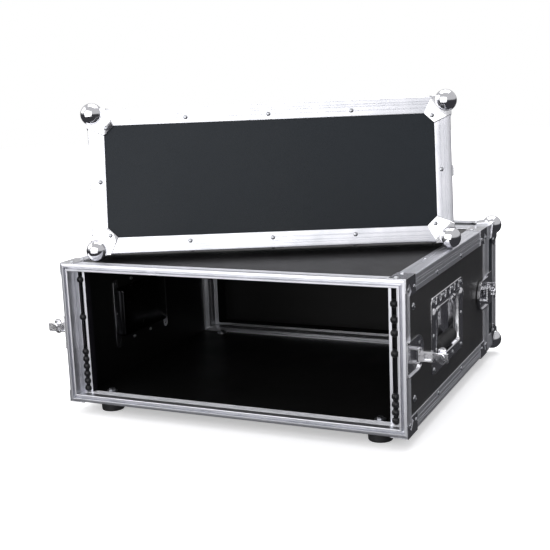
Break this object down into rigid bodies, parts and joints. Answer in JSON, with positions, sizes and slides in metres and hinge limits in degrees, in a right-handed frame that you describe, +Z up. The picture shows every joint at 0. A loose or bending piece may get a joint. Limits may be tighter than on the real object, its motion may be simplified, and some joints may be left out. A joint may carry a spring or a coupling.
{
  "type": "equipment rack case",
  "caption": "Portable plywood rack case with aluminium edges, lift-off lids, recessed bail handles, swinging catches and slotted rails for 19-inch equipment.",
  "frame": {"origin": "on the floor under the feet, at the middle of the footprint taken from the open front face to the rear ball corners", "axes": "+X to the right seen from the open front, +Y from the front to the rear lid, +Z up"},
  "size_m": [0.598, 0.498, 0.4396],
  "materials": {
    "laminated_plywood": "fine textured black laminate",
    "aluminium": "satin extruded",
    "plated_steel": "zinc plated",
    "chrome": "polished",
    "black_rubber": "matt",
    "black_steel": "black satin"
  },
  "bodies": {
    "case": {"top_panel": "laminated_plywood", "bottom_panel": "laminated_plywood", "left_panel": "laminated_plywood", "right_panel": "laminated_plywood", "edge_top_left": "aluminium", "edge_top_right": "aluminium", "edge_bottom_left": "aluminium", "edge_bottom_right": "aluminium", "front_frame": "aluminium", "rear_frame": "aluminium", "corner_braces": "plated_steel", "body_rivets": "plated_steel", "rack_rail_left": "aluminium", "rack_rail_right": "aluminium", "rubber_feet": "black_rubber", "foot_fixings": "plated_steel", "handle_dish_left": "chrome", "handle_pins_left": "chrome", "handle_dish_right": "chrome", "handle_pins_right": "chrome", "catch_plates": "chrome", "catch_pins": "chrome"},
    "front_lid": {"front_lid_panel": "laminated_plywood", "front_lid_walls": "laminated_plywood", "front_lid_edges": "aluminium", "front_lid_rim": "aluminium", "front_lid_ball_corners": "chrome", "front_lid_rivets": "plated_steel", "front_lid_keepers": "chrome"},
    "rear_lid": {"rear_lid_panel": "laminated_plywood", "rear_lid_walls": "laminated_plywood", "rear_lid_edges": "aluminium", "rear_lid_rim": "aluminium", "rear_lid_ball_corners": "chrome", "rear_lid_rivets": "plated_steel", "rear_lid_keepers": "chrome"},
    "handle_left": {"handle_bail_left": "chrome", "handle_grip_left": "black_rubber"},
    "handle_right": {"handle_bail_right": "chrome", "handle_grip_right": "black_rubber"},
    "catch_arm_front_left_body": {"catch_arm_front_left": "chrome"},
    "catch_hook_front_left_body": {"catch_hook_front_left": "chrome"},
    "catch_key_front_left_body": {"catch_key_front_left": "chrome"},
    "catch_arm_front_right_body": {"catch_arm_front_right": "chrome"},
    "catch_hook_front_right_body": {"catch_hook_front_right": "chrome"},
    "catch_key_front_right_body": {"catch_key_front_right": "chrome"},
    "catch_arm_rear_left_body": {"catch_arm_rear_left": "chrome"},
    "catch_hook_rear_left_body": {"catch_hook_rear_left": "chrome"},
    "catch_key_rear_left_body": {"catch_key_rear_left": "chrome"},
    "catch_arm_rear_right_body": {"catch_arm_rear_right": "chrome"},
    "catch_hook_rear_right_body": {"catch_hook_rear_right": "chrome"},
    "catch_key_rear_right_body": {"catch_key_rear_right": "chrome"},
    "rack_screw_left_top_body": {"rack_screw_left_top": "black_steel"},
    "rack_screw_left_upper_body": {"rack_screw_left_upper": "black_steel"},
    "rack_screws_left_stack_body": {"rack_screws_left_stack": "black_steel"},
    "rack_screw_right_1_body": {"rack_screw_right_1": "black_steel"},
    "rack_screw_right_2_body": {"rack_screw_right_2": "black_steel"},
    "rack_screw_right_3_body": {"rack_screw_right_3": "black_steel"},
    "rack_screw_right_4_body": {"rack_screw_right_4": "black_steel"},
    "rack_screws_right_stack_body": {"rack_screws_right_stack": "black_steel"}
  },
  "joints": [
    {"name": "front_lid_lift", "type": "slide", "parent": "case", "child": "front_lid", "axis": [0, 0, 1], "range_m": [0, 0.3]},
    {"name": "rear_lid_pull", "type": "slide", "parent": "case", "child": "rear_lid", "axis": [0, 1, 0], "range_m": [0, 0.15]},
    {"name": "handle_swing_left", "type": "hinge", "parent": "case", "child": "handle_left", "pos_m": [-0.2461, -0.058, 0.1485], "axis": [0, 1, 0], "range_deg": [0, 90], "stiffness_Nm_per_rad": 0.12, "springref_deg": -20.05},
    {"name": "handle_swing_right", "type": "hinge", "parent": "case", "child": "handle_right", "pos_m": [0.2461, -0.058, 0.1485], "axis": [0, -1, 0], "range_deg": [0, 90], "stiffness_Nm_per_rad": 0.12, "springref_deg": -20.05},
    {"name": "catch_swing_front_left", "type": "hinge", "parent": "case", "child": "catch_arm_front_left_body", "pos_m": [-0.261, -0.221, 0.119], "axis": [0, 0, -1], "range_deg": [-90, 10]},
    {"name": "key_turn_front_left", "type": "hinge", "parent": "catch_arm_front_left_body", "child": "catch_key_front_left_body", "pos_m": [-0.289, -0.221, 0.119], "axis": [0, 1, 0], "range_deg": [0, 180]},
    {"name": "hook_slide_front_left", "type": "slide", "parent": "catch_arm_front_left_body", "child": "catch_hook_front_left_body", "axis": [-1, 0, 0], "range_m": [0, 0.0025]},
    {"name": "catch_swing_front_right", "type": "hinge", "parent": "case", "child": "catch_arm_front_right_body", "pos_m": [0.261, -0.221, 0.119], "axis": [0, 0, 1], "range_deg": [-90, 10]},
    {"name": "key_turn_front_right", "type": "hinge", "parent": "catch_arm_front_right_body", "child": "catch_key_front_right_body", "pos_m": [0.289, -0.221, 0.119], "axis": [0, 1, 0], "range_deg": [0, 180]},
    {"name": "hook_slide_front_right", "type": "slide", "parent": "catch_arm_front_right_body", "child": "catch_hook_front_right_body", "axis": [1, 0, 0], "range_m": [0, 0.0025]},
    {"name": "catch_swing_rear_left", "type": "hinge", "parent": "case", "child": "catch_arm_rear_left_body", "pos_m": [-0.261, 0.143, 0.119], "axis": [0, 0, 1], "range_deg": [0, 100]},
    {"name": "key_turn_rear_left", "type": "hinge", "parent": "catch_arm_rear_left_body", "child": "catch_key_rear_left_body", "pos_m": [-0.261, 0.171, 0.119], "axis": [-1, 0, 0], "range_deg": [0, 180]},
    {"name": "hook_slide_rear_left", "type": "slide", "parent": "catch_arm_rear_left_body", "child": "catch_hook_rear_left_body", "axis": [0, 1, 0], "range_m": [0, 0.0025]},
    {"name": "catch_swing_rear_right", "type": "hinge", "parent": "case", "child": "catch_arm_rear_right_body", "pos_m": [0.261, 0.143, 0.119], "axis": [0, 0, -1], "range_deg": [0, 100]},
    {"name": "key_turn_rear_right", "type": "hinge", "parent": "catch_arm_rear_right_body", "child": "catch_key_rear_right_body", "pos_m": [0.261, 0.171, 0.119], "axis": [1, 0, 0], "range_deg": [0, 180]},
    {"name": "hook_slide_rear_right", "type": "slide", "parent": "catch_arm_rear_right_body", "child": "catch_hook_rear_right_body", "axis": [0, 1, 0], "range_m": [0, 0.0025]},
    {"name": "screw_left_top_slide", "type": "slide", "parent": "case", "child": "rack_screw_left_top_body", "axis": [0, 0, 1], "range_m": [-0.02, 0.008]},
    {"name": "screw_left_upper_slide", "type": "slide", "parent": "case", "child": "rack_screw_left_upper_body", "axis": [0, 0, 1], "range_m": [-0.02, 0.02]},
    {"name": "screws_left_stack_slide", "type": "slide", "parent": "case", "child": "rack_screws_left_stack_body", "axis": [0, 0, 1], "range_m": [0, 0.02]},
    {"name": "screw_right_1_slide", "type": "slide", "parent": "case", "child": "rack_screw_right_1_body", "axis": [0, 0, 1], "range_m": [-0.0045, 0.016]},
    {"name": "screw_right_2_slide", "type": "slide", "parent": "case", "child": "rack_screw_right_2_body", "axis": [0, 0, 1], "range_m": [-0.003, 0.0045]},
    {"name": "screw_right_3_slide", "type": "slide", "parent": "case", "child": "rack_screw_right_3_body", "axis": [0, 0, 1], "range_m": [-0.0075, 0.003]},
    {"name": "screw_right_4_slide", "type": "slide", "parent": "case", "child": "rack_screw_right_4_body", "axis": [0, 0, 1], "range_m": [-0.02, 0.0075]},
    {"name": "screws_right_stack_slide", "type": "slide", "parent": "case", "child": "rack_screws_right_stack_body", "axis": [0, 0, 1], "range_m": [0, 0.02]}
  ],
  "couplings": [
    {"joint": "key_turn_front_left", "follows": "hook_slide_front_left", "rad_per_m": 1256.6},
    {"joint": "key_turn_front_right", "follows": "hook_slide_front_right", "rad_per_m": 1256.6},
    {"joint": "key_turn_rear_left", "follows": "hook_slide_rear_left", "rad_per_m": 1256.6},
    {"joint": "key_turn_rear_right", "follows": "hook_slide_rear_right", "rad_per_m": 1256.6}
  ]
}
